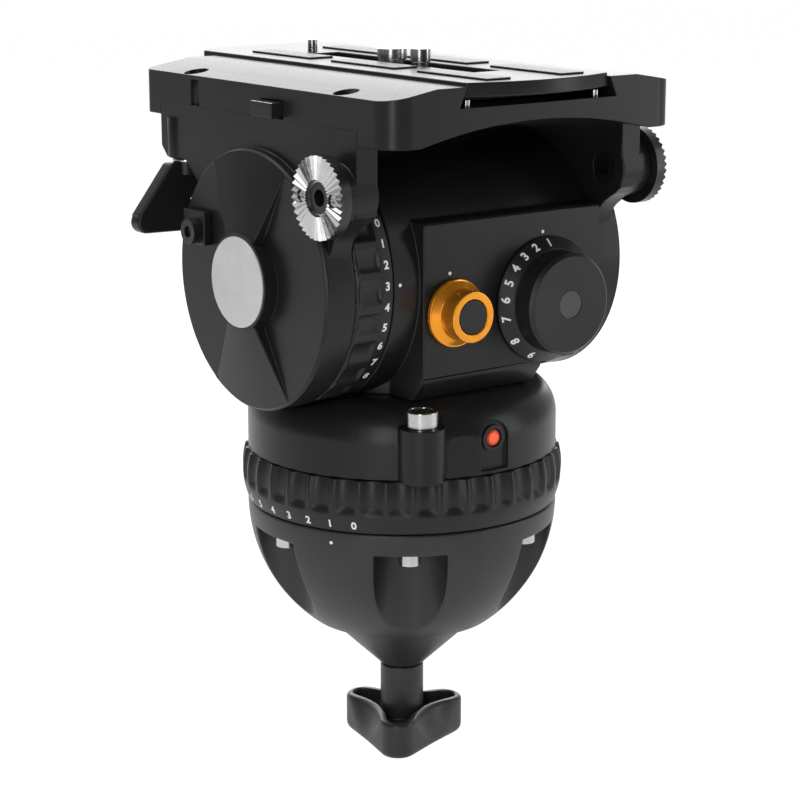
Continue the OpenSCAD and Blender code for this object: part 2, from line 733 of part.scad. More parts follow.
// platform and what it carries
module plan_corners() {
  union() {
    translate([-arm_out + front_r, plat_y0]) square([plat_w - 2 * front_r, plat_l]);
    translate([-arm_out, plat_y0 + front_r]) square([plat_w, plat_l - front_r - corner_r]);
    translate([-arm_out + corner_r, 0]) square([plat_w - 2 * corner_r, plat_y1]);
    for (s = [-1, 1]) {
      translate([s * (arm_out - front_r), plat_y0 + front_r]) circle(r = front_r);
      translate([s * (arm_out - corner_r), plat_y1 - corner_r]) circle(r = corner_r);
    }
  }
}
module slot_shape(mouth, deep, z0, z1) {
  polygon([[-deep, z0], [deep, z0], [mouth, z1], [-mouth, z1]]);
}
module platform() {
  color("#2b2b2d") difference() {
    intersection() {
      xz(plat_y0, plat_y1) polygon([[-arm_out, rail_z], [arm_out, rail_z], [arm_out, plat_z - bevel_h],
        [arm_out - bevel_w, plat_z], [bevel_w - arm_out, plat_z], [-arm_out, plat_z - bevel_h]]);
      translate([0, 0, rail_z - 1]) linear_extrude(plat_h + 2) plan_corners();
    }
    translate([0, 0, rail_z + arch_rise - arch_r]) ycyl(plat_y0 - 1, plat_y1 + 1, arch_r, $fn = 360);
    xz(plat_y0 - 1, plat_y1 + 1) polygon([[-slot_w / 2 - slot_flare, slot_z],
      [slot_w / 2 + slot_flare, slot_z], [slot_w / 2, plat_z], [slot_w / 2, plat_z + 1],
      [-slot_w / 2, plat_z + 1], [-slot_w / 2, plat_z]]);
    both() {
      box(-arm_out - 1, -arm_in + 0.1, arm_y0 - 0.1, arm_y1 + 0.1, rail_z - 1, arm_z);
      for (s = [-1, 1]) translate([-screw_x, s * screw_y, 0]) {
        zcyl(screw_seat, plat_z + 1, head_pocket);
        zcyl(arm_z - 1, plat_z, 2.1);
      }
    }
    translate([lever_x, lever_y, 0]) zcyl(rail_z, cam_z + cam_h + gap, 4.25);
    box(lever_x, -slot_w / 2 - 8.2, lever_y - 3.3, lever_y + 3.3, cam_z - gap, cam_z + cam_h + gap);
    box(-slot_w / 2 - 10.2, -slot_w / 2 - 1, lever_y - 3.3, lever_y + 3.3, cam_z - gap, slot_z + 3.3);
    box(-arm_out - 1, -arm_out + 14, tab_y - tab_half - gap, tab_y + tab_half + gap,
      arm_z - 1, tab_z1 + gap);
    translate([0, tab_y, (tab_z0 + tab_z1) / 2]) xcyl(-arm_out + 13, -slot_w / 2 - 4.5, 1.8);
    translate([-arm_out, notch_y, 0]) zcyl(rail_z - 1, plat_z - bevel_h - 1.2, notch_r);
    for (s = [-1, 1]) translate([s * stop_x, stop_y, 0]) zcyl(slot_z - 2.5, slot_z + 1, 1.2 + fit);
  }
}
module platform_screws() {
  color("#47484b") both() for (s = [-1, 1]) translate([-screw_x, s * screw_y, screw_seat])
    cap_screw(3.1, 4, 2, 16);
}
module stop_pins() {
  color("#d5d7d9") for (s = [-1, 1]) translate([s * stop_x, stop_y, 0])
    zcyl(slot_z - 2.4, slot_z + 2, 1.2);
}
module clamp_lever() {
  thick = 5.5;
  color("#2e2e30") difference() {
    union() {
      translate([lever_x, lever_y, 0]) zcyl(lever_z - 5.3, lever_z - 1.3, 4.5);
      translate([lever_x, 0, lever_z]) xz(lever_y - thick / 2, lever_y + thick / 2) union() {
        polygon([[3.2, -1.8], [-7.4, -1.3], [-19.6, -17], [-16.6, -22.9], [-0.6, -23.3],
          [-0.6, -13], [2.4, -9]]);
        translate([-16.6, -19.5]) circle(r = 3.4);
      }
    }
    translate([lever_x, lever_y, 0]) zcyl(lever_z - 4.5, lever_z, lever_spin + fit);
  }
}
module clamp_spindle() {
  color("#8d9094") translate([lever_x, lever_y, 0]) union() {
    zcyl(lever_z - 4.4, cam_z + eps, lever_spin);
    translate([0.5, 0, 0]) zcyl(cam_z, cam_z + cam_h, 3.4);
  }
}
module clamp_washers() {
  color("#d5d7d9") translate([lever_x, lever_y, 0]) disc(lever_z - 1.2, lever_z - gap, lever_spin + 1.6,
    lever_spin + fit);
}
module clamp_shoe() {
  color("#b08d4a") union() {
    box(lever_x + 4.2, -slot_w / 2 - 8.5, lever_y - 3, lever_y + 3, cam_z, cam_z + cam_h);
    box(-slot_w / 2 - 9.5, -slot_w / 2 - 2.9, lever_y - 3, lever_y + 3, cam_z, slot_z + 3);
  }
}
module safety_tab() {
  color("#2e2e30") union() {
    box(-tab_out, -arm_out + 10, tab_y - tab_half, tab_y + tab_half, tab_z0, tab_z1);
    translate([0, tab_y, (tab_z0 + tab_z1) / 2]) xcyl(-arm_out + 9, -arm_out + 17, 1.5);
  }
}
module camera_plate() {
  mouth = slot_w / 2 - plate_in;
  deep = slot_w / 2 + slot_flare - plate_in;
  tail_x = deep - tail_r + 0.4;
  color("#3a3a3d") difference() {
    intersection() {
      xz(plate_y0 - 1, plate_y1 + 1) union() {
        slot_shape(mouth, deep, plate_z0, plat_z);
        translate([-mouth, plat_z - eps]) square([2 * mouth, plate_z1 - plat_z + eps]);
      }
      union() {
        translate([0, plate_y0 + nose_r, 0]) zcyl(plate_z0 - 1, plate_z1 + 1, nose_r);
        box(-slot_w, slot_w, plate_y0 + nose_r * 0.6, plate_y1 - tail_r, plate_z0 - 1, plate_z1 + 1);
        box(-tail_x, tail_x, plate_y0 + nose_r, plate_y1, plate_z0 - 1, plate_z1 + 1);
        both() translate([tail_x, plate_y1 - tail_r, 0]) zcyl(plate_z0 - 1, plate_z1 + 1, tail_r);
      }
    }
    box(-channel_half, channel_half, channel_y0, channel_y1, plate_z0 - 1, channel_z);
    box(-mouth_half, mouth_half, channel_y0 + 2, channel_y1 - 2, channel_z - 1, plate_z1 + 1);
    translate([0, pin_y, 0]) zcyl(plate_z0 - 1, plate_z1 + 1, pin_r + run);
    for (s = [-1, 1]) box(s * stop_x - 1.8, s * stop_x + 1.8, plate_y0 - 1, plate_y0 + 40.5,
      plate_z0 - 1, slot_z + 2.4);
    box(-slot_w, slot_w, plate_y0 - 1, plate_y0 + relief_l, plate_z0 - 1, slot_z + relief_h);
  }
}
module plate_pads() {
  color("#1d1d1f") for (s = [-1, 1]) for (i = [0 : 2])
    box(s * pad_x - pad_w / 2, s * pad_x + pad_w / 2, pad_y + i * pad_pitch,
      pad_y + i * pad_pitch + pad_len, plate_z1, plate_z1 + pad_h);
}
module camera_screw(r, up) {
  difference() {
    union() {
      zcyl(plate_z0 + 0.4, channel_z - gap, channel_half - gap);
      zcyl(channel_z - gap - eps, thread_z + eps, r - 0.45);
      zcyl(thread_z, thread_z + up, r);
    }
    box(-channel_half, channel_half, -0.8, 0.8, plate_z0, plate_z0 + 1.9);
  }
}
module screw_small() {
  color("#d5d7d9") translate([0, small_y, 0]) camera_screw(small_r, 4.1);
}
module screw_large() {
  color("#d5d7d9") translate([0, large_y, 0]) camera_screw(large_r, 3.3);
}
module plate_pin() {
  color("#d5d7d9") translate([0, pin_y, 0]) zcyl(plate_z0 + 3.6, plate_z1 + 3.8, pin_r);
}

half_ball();
ball_screws();
pan_base();
pan_spindle();
spindle_nut();
pan_stators();
pan_drag_ring();
tie_stud();
tie_cup();
tie_knob();
pan_housing();
pan_bushes();
pan_rotors();
housing_screws();
level_body();
level_vial();
light_bezel();
light_button();
tilt_body();
tilt_bushes();
tilt_stators();
tilt_drag_ring();
selector_knob();
selector_inset();
selector_spindle();
balance_dial();
balance_cap();
balance_spindle();
tilt_shaft();
tilt_rotors();
balance_springs();
left_arm();
right_arm();
shaft_screws();
left_badge();
right_cover();
hub_stop();
hub_stop_screw();
left_rosette();
right_rosette();
rosette_inserts();
rosette_screws();
platform();
platform_screws();
stop_pins();
clamp_lever();
clamp_spindle();
clamp_washers();
clamp_shoe();
safety_tab();
camera_plate();
plate_pads();
screw_small();
screw_large();
plate_pin();
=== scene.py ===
"""Dresses the solids of a fluid video head: softened pieces, print, finishes and a studio."""

import json
import math

import bmesh
import bpy
from bpy.props import FloatProperty, FloatVectorProperty, IntProperty, PointerProperty
from bpy.types import Operator, Panel, PropertyGroup
from mathutils import Matrix, Vector, kdtree


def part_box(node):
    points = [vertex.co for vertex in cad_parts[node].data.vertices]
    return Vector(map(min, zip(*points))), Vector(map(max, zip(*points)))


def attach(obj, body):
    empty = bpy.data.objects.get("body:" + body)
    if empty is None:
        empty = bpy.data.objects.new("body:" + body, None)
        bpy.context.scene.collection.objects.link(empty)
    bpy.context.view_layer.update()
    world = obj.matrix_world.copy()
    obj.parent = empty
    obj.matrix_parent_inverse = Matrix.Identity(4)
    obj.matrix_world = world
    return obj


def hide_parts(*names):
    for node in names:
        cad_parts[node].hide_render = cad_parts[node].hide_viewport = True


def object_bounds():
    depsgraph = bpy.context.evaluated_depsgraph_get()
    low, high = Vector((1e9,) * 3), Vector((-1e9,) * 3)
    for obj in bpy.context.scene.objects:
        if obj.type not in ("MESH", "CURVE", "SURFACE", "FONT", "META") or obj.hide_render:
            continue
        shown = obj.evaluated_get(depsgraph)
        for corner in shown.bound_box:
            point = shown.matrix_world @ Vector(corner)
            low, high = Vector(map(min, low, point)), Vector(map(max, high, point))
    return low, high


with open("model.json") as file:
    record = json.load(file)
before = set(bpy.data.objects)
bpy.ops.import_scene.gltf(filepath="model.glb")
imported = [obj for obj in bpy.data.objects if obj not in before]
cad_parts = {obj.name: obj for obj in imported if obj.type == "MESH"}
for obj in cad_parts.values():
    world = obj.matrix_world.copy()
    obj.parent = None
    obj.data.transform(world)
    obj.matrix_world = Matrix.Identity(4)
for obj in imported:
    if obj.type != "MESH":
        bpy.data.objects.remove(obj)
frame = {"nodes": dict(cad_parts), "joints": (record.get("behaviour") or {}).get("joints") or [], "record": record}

bl_info = {
    "name": "Fluid Video Head",
    "version": (1, 0, 0),
    "blender": (4, 5, 0),
    "location": "3D View > Sidebar > Video Head",
    "description": "Builds the looks of a fluid video head over its solids",
    "category": "Object",
}

MM = 0.001
CAD_BOX = [list(corner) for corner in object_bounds()]
JOINTS = {joint["name"]: joint for joint in frame["joints"]}
TILT_Z = JOINTS["tilt"]["pos_m"][2]
DIAL_X, DIAL_Z = JOINTS["balance"]["pos_m"][0], JOINTS["balance"]["pos_m"][2]
KNOB_X, KNOB_Z = JOINTS["selector"]["pos_m"][0], JOINTS["selector"]["pos_m"][2]
LEVER = Vector(JOINTS["clamp"]["pos_m"])
PANEL_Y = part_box("tilt_body")[0][1]
BALL_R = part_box("half_ball")[1][0]
TILT_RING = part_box("tilt_drag_ring")
PAN_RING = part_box("pan_drag_ring")
NODE_SLOT = {part["node"]: part["material_slot"] for part in frame["record"]["subparts"]}
BODY_NODES = frame["record"]["behaviour"]["bodies"]
NODE_BODY = {node: body for body, nodes in BODY_NODES.items() for node in nodes}

# Copies of solids: points closer than MERGE become one point and faces within FLAT one face.
# In degrees, edges over CREASE hold their points, over BEVEL are rounded, over SHARP shade sharp.
# CLEARING is the room beside a rounded edge, in widths of its rounding, that has no loose points
MERGE = 0.002 * MM
FLAT = math.radians(0.3)
CREASE, BEVEL, SHARP = 12.0, 35.0, 38.0
CLEARING = 1.6
# Noise values lie mostly between these two
NOISE_LOW, NOISE_HIGH = 0.3, 0.7

# Tie-down knob: the turn of its lobes in degrees, heights, lobes, hollowed flanks, bore, lips
# and the softness of its creases
KNOB_TURN = -42
KNOB_HEIGHT, KNOB_RECESS, KNOB_RIM = 12.4 * MM, 4 * MM, 2.2 * MM
KNOB_REACH, KNOB_LOBE, KNOB_LOBE_AT = 21.5 * MM, 5.8 * MM, 15.7 * MM
KNOB_FLANK_AT, KNOB_WAIST, KNOB_DRAFT = 34.4 * MM, 10.4 * MM, 0.343
KNOB_STEM, KNOB_BORE, KNOB_BORE_FLOOR = 7.1 * MM, 5.3 * MM, 3 * MM
KNOB_LIP, KNOB_INNER_LIP, KNOB_FILLET = 1.5 * MM, 0.65 * MM, 0.35 * MM
KNOB_SOFT, KNOB_BLUR = 1.2 * MM, 3

# Drag rings: finger flutes, and the numbered band of the tilt ring with its step down
PAN_FLUTES, TILT_FLUTES = 38, 26
TILT_BAND, TILT_DROP = 3.7 * MM, 0.3 * MM

# Print: its lift over the surface, and the angles of the figures in degrees
LIFT = 0.03 * MM
PAN_INDEX, PAN_STEP, PAN_LEAN = -63.1, 9, 0.3
TILT_INDEX, TILT_STEP = 2, 9.3
DIAL_SCALE = (2.5, 20, 35.6, 51, 67, 84, 103, 129, 156)

# Studio: the floor's glow and how much of it the camera and reflections see, the side that
# is bright in reflections, and the camera fitted to the photo
FLOOR_HALF, FLOOR_ROUGH, FLOOR_GLOW, FLOOR_SHARE, FLOOR_MIRROR = 3.0, 0.9, 1.1, 0.88, 0.5
MIRROR_SIDE, MIRROR_FADE, MIRROR_LIGHT = (0.59, 0.77, 0.24), (0.1, 1.0), (0.06, 0.8)
CAMERA_AT = (-0.43092, -0.56695, 0.20213)
CAMERA_TURN = (math.radians(76.47), 0, math.radians(-37.24))
CAMERA_SENSOR, CAMERA_LENS, CAMERA_SHIFT = 36, 101.915, -0.0025


def colour(name, text, default):
    """A colour setting with its default in linear values."""
    return FloatVectorProperty(
        name=name, description=text, subtype="COLOR", size=3, min=0, max=1, default=default,
    )


def length(name, text, default):
    """A length setting in metres."""
    return FloatProperty(
        name=name, description=text, default=default, min=0, precision=5, unit="LENGTH",
    )


def power(name, text, default):
    """A lamp's power in watts."""
    return FloatProperty(name=name, description=text, default=default, min=0, unit="POWER")


class HeadSizes(PropertyGroup):
    """Lengths that the pieces share"""
    edge: length("Edge rounding", "Rounding of the machined edges", 0.45 * MM)
    fine_edge: length("Fine edge rounding", "Rounding of the small turned edges", 0.18 * MM)
    knob_base: length("Knob base rounding", "Rounding of the foot of the tie-down knob", 2.4 * MM)
    pan_flute: length("Pan flute depth", "Depth of the pan drag ring's flutes", 1.5 * MM)
    tilt_flute: length("Tilt flute depth", "Depth of the tilt drag ring's flutes", 1.25 * MM)
    figure: length("Ring figure height", "Height of the figures on the drag rings", 2.5 * MM)
    dial_figure: length("Dial figure height", "Height of the figures on the dial", 2.7 * MM)
    dot: length("Index dot radius", "Radius of the white index dots", 0.55 * MM)
    print_depth: length("Print depth", "How far the print reaches into the part", 0.12 * MM)
    turns: IntProperty(
        name="Turned facets", description="Facets round a turned piece",
        default=128, min=24, max=256,
    )


class HeadColours(PropertyGroup):
    """Colours of the finishes"""
    body: colour("Anodised black", "Black of the machined parts", (0.011, 0.011, 0.0116))
    moulding: colour("Moulded black", "Black of rings, dials and knobs", (0.0125, 0.0125, 0.013))
    # A lighter black on the half ball and the tie-down: painted light that stands in for the floor's light from
    # below
    casting: colour("Cast black", "Black of the half ball and the tie-down", (0.022, 0.022, 0.0225))
    cap: colour("Cap grey", "Grey of the dial's cap", (0.05, 0.05, 0.052))
    silver: colour("Silver disc", "Colour of the hub badge", (0.6, 0.6, 0.605))
    orange: colour("Anodised orange", "Colour of the selector knob", (0.95, 0.36, 0.025))
    steel: colour("Bright steel", "Colour of rosettes, pins and screws", (0.55, 0.555, 0.56))
    dark_steel: colour("Dark steel", "Colour of blackened screws", (0.06, 0.061, 0.065))
    bronze: colour("Bronze", "Colour of bushes and discs", (0.42, 0.26, 0.08))
    rubber: colour("Rubber", "Colour of the plate pads", (0.014, 0.014, 0.015))
    paint: colour("White print", "Colour of figures and dots", (0.86, 0.86, 0.86))
    lamp: colour("Lamp red", "Colour of the level light", (1.0, 0.085, 0.02))
    vial: colour("Vial green", "Colour of the level fluid", (0.05, 0.06, 0.025))
    floor: colour("Floor", "Colour of the studio floor", (0.9, 0.9, 0.9))


class HeadStudio(PropertyGroup):
    """Floor and light of the studio"""
    drop: length("Floor drop", "Room under the head for the tie-down knob to run down", 12 * MM)
    top_light: power("Top light", "Power of the overhead softbox", 9.0)
    left_light: power("Left light", "Power of the softbox on the left", 4.5)
    right_light: power("Right light", "Power of the strip on the right", 3.0)
    back_light: power("Back light", "Power of the softbox behind", 9.5)
    ambient: FloatProperty(
        name="Ambient", description="Strength of the room's fill", default=0.25, min=0, max=2,
    )


def sizes():
    return bpy.context.scene.head_sizes


def colours():
    return bpy.context.scene.head_colours


def node_tree(name):
    """A new material with its tree and its shader."""
    material = bpy.data.materials.new(name)
    material.use_nodes = True
    return material, material.node_tree, material.node_tree.nodes["Principled BSDF"]


def mapped(tree, scale, shift=(0, 0, 0)):
    """Object coordinates, scaled and then shifted."""
    coords = tree.nodes.new("ShaderNodeTexCoord")
    mapping = tree.nodes.new("ShaderNodeMapping")
    mapping.inputs["Scale"].default_value = scale
    mapping.inputs["Location"].default_value = shift
    tree.links.new(coords.outputs["Object"], mapping.inputs["Vector"])
    return mapping.outputs["Vector"]


def map_range(tree, value, start, end, low, high):
    """Maps a value between start and end onto low to high."""
    node = tree.nodes.new("ShaderNodeMapRange")
    node.inputs["From Min"].default_value = start
    node.inputs["From Max"].default_value = end
    node.inputs["To Min"].default_value = low
    node.inputs["To Max"].default_value = high
    tree.links.new(value, node.inputs["Value"])
    return node.outputs["Result"]


def combined(tree, operation, first, second):
    """A value worked out from a socket and from another socket or a number."""
    node = tree.nodes.new("ShaderNodeMath")
    node.operation = operation
    tree.links.new(first, node.inputs[0])
    if isinstance(second, float):
        node.inputs[1].default_value = second
    else:
        tree.links.new(second, node.inputs[1])
    return node.outputs["Value"]


def mixed(tree, share, first, second):
    """A mix of two shaders."""
    node = tree.nodes.new("ShaderNodeMixShader")
    tree.links.new(share, node.inputs["Fac"])
    tree.links.new(first, node.inputs[1])
    tree.links.new(second, node.inputs[2])
    return node.outputs["Shader"]


def noise(tree, scale, detail=3.0, stretch=(1, 1, 1)):
    """Noise on object coordinates; scale is in features per metre."""
    pattern = tree.nodes.new("ShaderNodeTexNoise")
    pattern.inputs["Scale"].default_value = scale
    pattern.inputs["Detail"].default_value = detail
    tree.links.new(mapped(tree, stretch), pattern.inputs["Vector"])
    return pattern.outputs["Fac"]


def tone(tree, shader, base, low, high, scale):
    """Slow colour variation of a base colour."""
    ramp = tree.nodes.new("ShaderNodeValToRGB")
    dark, light = ramp.color_ramp.elements
    dark.position, light.position = NOISE_LOW, NOISE_HIGH
    dark.color = [channel * low for channel in base] + [1]
    light.color = [min(1, channel * high) for channel in base] + [1]
    tree.links.new(noise(tree, scale), ramp.inputs["Fac"])
    tree.links.new(ramp.outputs["Color"], shader.inputs["Base Color"])


def grain(tree, shader, scale, low, high, strength, depth, stretch=(1, 1, 1)):
    """Fine surface grain in roughness and bump."""
    value = noise(tree, scale, 2.0, stretch)
    gloss = map_range(tree, value, NOISE_LOW, NOISE_HIGH, low, high)
    tree.links.new(gloss, shader.inputs["Roughness"])
    bump = tree.nodes.new("ShaderNodeBump")
    bump.inputs["Strength"].default_value = strength
    bump.inputs["Distance"].default_value = depth
    tree.links.new(value, bump.inputs["Height"])
    tree.links.new(bump.outputs["Normal"], shader.inputs["Normal"])


def surface(name, base, tones, patches, gloss, grit, bump, stretch=(1, 1, 1), sockets=()):
    """A material with slow tone changes and fine grain.

    tones and gloss are the lowest and highest value, patches and grit the features per metre,
    bump its strength and depth, sockets the shader's other values.
    """
    material, tree, shader = node_tree(name)
    tone(tree, shader, base, *tones, patches)
    grain(tree, shader, grit, *gloss, *bump, stretch)
    for socket, value in dict(sockets).items():
        shader.inputs[socket].default_value = value
    return material


def anodised_black(name):
    return surface(
        name, colours().body, tones=(0.85, 1.2), patches=40, gloss=(0.31, 0.36), grit=1500,
        bump=(0.04, 0.006 * MM), sockets={"Specular IOR Level": 0.28},
    )


def moulded_black(name):
    return surface(
        name, colours().moulding, tones=(0.85, 1.2), patches=55, gloss=(0.36, 0.46), grit=1300,
        bump=(0.1, 0.01 * MM), sockets={"Specular IOR Level": 0.34},
    )


# Black raised in colour as painted light, standing in for the floor's light from below on the half ball and
# tie-down
def cast_black(name):
    return surface(
        name, colours().casting, tones=(0.85, 1.2), patches=55, gloss=(0.36, 0.46), grit=1300,
        bump=(0.1, 0.01 * MM), sockets={"Specular IOR Level": 0.45},
    )


def moulded_grey(name):
    return surface(
        name, colours().cap, tones=(0.9, 1.1), patches=90, gloss=(0.4, 0.5), grit=1300,
        bump=(0.1, 0.01 * MM),
    )


def brushed_silver(name):
    return surface(
        name, colours().silver, tones=(0.94, 1.05), patches=90, gloss=(0.34, 0.42), grit=500,
        bump=(0.05, 0.005 * MM), stretch=(1, 1, 14), sockets={"Metallic": 0.3},
    )


def anodised_orange(name):
    return surface(
        name, colours().orange, tones=(0.92, 1.05), patches=90, gloss=(0.2, 0.26), grit=300,
        bump=(0.02, 0.003 * MM), stretch=(1, 6, 1), sockets={"Metallic": 0.72},
    )


def bright_steel(name):
    return surface(
        name, colours().steel, tones=(0.9, 1.06), patches=160, gloss=(0.2, 0.28), grit=400,
        bump=(0.02, 0.003 * MM), sockets={"Metallic": 1.0},
    )


def dark_steel(name):
    return surface(
        name, colours().dark_steel, tones=(0.8, 1.2), patches=160, gloss=(0.3, 0.42), grit=1500,
        bump=(0.1, 0.01 * MM), sockets={"Metallic": 0.9},
    )


def plain_bronze(name):
    return surface(
        name, colours().bronze, tones=(0.85, 1.1), patches=120, gloss=(0.32, 0.46), grit=1200,
        bump=(0.1, 0.01 * MM), sockets={"Metallic": 1.0},
    )


def pad_rubber(name):
    return surface(
        name, colours().rubber, tones=(0.85, 1.2), patches=80, gloss=(0.36, 0.46), grit=1400,
        bump=(0.2, 0.02 * MM),
    )


def white_print(name):
    return surface(
        name, colours().paint, tones=(0.95, 1.0), patches=300, gloss=(0.45, 0.6), grit=3000,
        bump=(0.1, 0.01 * MM),
    )


def vial_fluid(name):
    return surface(
        name, colours().vial, tones=(0.9, 1.1), patches=200, gloss=(0.04, 0.1), grit=600,
        bump=(0.02, 0.01 * MM), sockets={"Transmission Weight": 0.35, "IOR": 1.36},
    )


def lamp_lens(name):
    """A red lens that glows in its middle."""
    material, tree, shader = node_tree(name)
    low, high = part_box("light_button")
    reach = 0.56 * (high[2] - low[2])
    rim_share, glow = 0.16, 0.8
    at = Vector(((low[0] + high[0]) / 2, low[1], (low[2] + high[2]) / 2))
    ball = tree.nodes.new("ShaderNodeTexGradient")
    ball.gradient_type = "SPHERICAL"
    ramp = tree.nodes.new("ShaderNodeValToRGB")
    rim, core = ramp.color_ramp.elements
    rim.position, core.position = 0.25, 0.7
    rim.color = [channel * rim_share for channel in colours().lamp] + [1]
    core.color = list(colours().lamp) + [1]
    vector = mapped(tree, (1 / reach, 1 / reach, 1 / reach), -at / reach)
    tree.links.new(vector, ball.inputs["Vector"])
    tree.links.new(ball.outputs["Fac"], ramp.inputs["Fac"])
    for socket in ("Base Color", "Emission Color"):
        tree.links.new(ramp.outputs["Color"], shader.inputs[socket])
    grain(tree, shader, 900, 0.2, 0.3, 0.05, 0.01 * MM)
    shader.inputs["Emission Strength"].default_value = glow
    return material


FINISHES = {
    "black_alu": anodised_black, "black_plastic": moulded_black, "silver_alu": brushed_silver,
    "orange_alu": anodised_orange, "steel": bright_steel, "bright_steel": bright_steel,
    "dark_steel": dark_steel, "spring_steel": dark_steel, "base_alu": brushed_silver,
    "bronze": plain_bronze, "disc_brass": plain_bronze, "rubber": pad_rubber, "vial": vial_fluid,
    "light": lamp_lens, "print": white_print, "cap_grey": moulded_grey, "cast_black": cast_black,
}


def finish_of(slot):
    """The material of a slot, made once."""
    return bpy.data.materials.get("finish_" + slot) or FINISHES[slot]("finish_" + slot)


def solid_copy(node):
    """A merged copy of a solid, its flat faces joined up."""
    bm = bmesh.new()
    bm.from_mesh(frame["nodes"][node].data)
    bmesh.ops.remove_doubles(bm, verts=bm.verts, dist=MERGE)
    bmesh.ops.dissolve_limit(bm, angle_limit=FLAT, verts=bm.verts, edges=bm.edges)
    return bm


def middle_of(edge):
    """The point halfway along an edge."""
    return (edge.verts[0].co + edge.verts[1].co) / 2


def sharp_edges(bm, angle, chosen=None):
    """The edges sharper than an angle in degrees, where chosen says yes to them."""
    limit = math.radians(angle)
    sharp = [edge for edge in bm.edges if edge.is_manifold and edge.calc_face_angle(0) > limit]
    return [edge for edge in sharp if chosen is None or chosen(edge)]


def clear_edges(bm, edges, room):
    """Takes out points of round faces that lie too near these edges to round them cleanly."""
    parts = 6
    marks = [
        edge.verts[0].co.lerp(edge.verts[1].co, part / parts)
        for edge in edges for part in range(parts + 1)
    ]
    tree = kdtree.KDTree(len(marks))
    for index, mark in enumerate(marks):
        tree.insert(mark, index)
    tree.balance()
    held = {vert for edge in sharp_edges(bm, CREASE) for vert in edge.verts}
    near = [vert for vert in bm.verts if vert not in held and tree.find(vert.co)[2] < room]
    bmesh.ops.dissolve_verts(bm, verts=near)


def round_edges(bm, width, angle=BEVEL, segments=2, chosen=None):
    """Rounds the edges sharper than an angle in degrees."""
    edges = sharp_edges(bm, angle, chosen)
    if edges:
        clear_edges(bm, edges, width * CLEARING)
    bmesh.ops.bevel(
        bm, geom=sharp_edges(bm, angle, chosen), offset=width, offset_type="OFFSET",
        segments=segments, profile=0.5, affect="EDGES", clamp_overlap=False, material=-1,
    )


def place(bm, name, body, slot, replaced=(), sharp=SHARP, finish=None):
    """Makes the piece's object, gives it its finish and lets it ride on its body."""
    mesh = bpy.data.meshes.new(name)
    bm.to_mesh(mesh)
    bm.free()
    mesh.shade_smooth()
    mesh.set_sharp_from_angle(angle=math.radians(sharp))
    mesh.materials.append(finish_of(finish or slot))
    piece = bpy.data.objects.new(name, mesh)
    bpy.context.scene.collection.objects.link(piece)
    normals = piece.modifiers.new("even_shading", "WEIGHTED_NORMAL")
    normals.keep_sharp = True
    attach(piece, body)
    if replaced:
        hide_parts(*replaced)
    return piece


def place_skin(bm, node, sharp=SHARP, finish=None):
    """Puts a piece in the place of a solid."""
    return place(bm, node + "_skin", NODE_BODY[node], NODE_SLOT[node], (node,), sharp, finish)


def soften(node, width, segments=2, angle=BEVEL, chosen=None, finish=None):
    """Replaces a solid by its copy with rounded edges."""
    bm = solid_copy(node)
    round_edges(bm, width, angle, segments, chosen)
    return place_skin(bm, node, finish=finish)


def turned(profile, centre, axis, steps=None):
    """A piece turned about an axis from (radius, height) points.

    The profile closes on itself, or on the axis where it starts there.
    """
    bm = bmesh.new()
    axis = Vector(axis)
    out = Vector((1, 0, 0)) if abs(axis.x) < 0.5 else Vector((0, 0, 1))
    centre = Vector(centre)
    ring = [bm.verts.new(centre + out * radius + axis * height) for radius, height in profile]
    edges = [bm.edges.new((first, second)) for first, second in zip(ring, ring[1:])]
    if profile[0][0] > 0:
        edges.append(bm.edges.new((ring[-1], ring[0])))
    bmesh.ops.spin(
        bm, geom=ring + edges, cent=centre, axis=axis, angle=math.tau,
        steps=steps or sizes().turns, use_merge=True, use_duplicate=False,
    )
    bmesh.ops.remove_doubles(bm, verts=bm.verts, dist=MERGE)
    bmesh.ops.recalc_face_normals(bm, faces=bm.faces)
    return bm


def rounded(points, radius, parts=4):
    """A profile with its corners rounded; corners on the axis stay sharp."""
    result = []
    count = len(points)
    closed = points[0][0] > 0
    room = 0.45
    for index, point in enumerate(points):
        if not closed and index in (0, count - 1):
            result.append(point)
            continue
        here = Vector(point)
        before = Vector(points[index - 1]) - here
        after = Vector(points[(index + 1) % count]) - here
        turn = before.angle(after)
        reach = min(radius / math.tan(turn / 2), before.length * room, after.length * room)
        first, last = here + before.normalized() * reach, here + after.normalized() * reach
        for part in range(parts + 1):
            share = part / parts
            a, b = first.lerp(here, share), here.lerp(last, share)
            result.append(tuple(a.lerp(b, share)))
    return result


def arc(across, up, radius, start, end, parts=5):
    """Points of a profile along an arc about (across, up), in degrees."""
    angles = [math.radians(start + (end - start) * part / parts) for part in range(parts + 1)]
    return [(across + radius * math.cos(angle), up + radius * math.sin(angle)) for angle in angles]


def smooth_step(low, high, value):
    """0 below low, 1 above high and an even rise between."""
    share = min(1.0, max(0.0, (value - low) / (high - low)))
    return share * share * (3 - 2 * share)


def scoop(angle, count, width):
    """Depth share of a finger flute at an angle: 1 in its middle, 0 on the land."""
    roundness = 0.75
    share = abs((angle * count / math.tau + 0.5) % 1 - 0.5) / width
    return max(0.0, 1 - share * share) ** roundness


class HEAD_OT_half_ball(Operator):
    """Makes the half ball with its windows and screws"""
    bl_idname = "head.half_ball"
    bl_label = "Half Ball"

    def execute(self, context):
        soften("half_ball", sizes().edge * 1.4, 3, CREASE, finish="cast_black")
        soften("ball_screws", sizes().fine_edge)
        return {"FINISHED"}


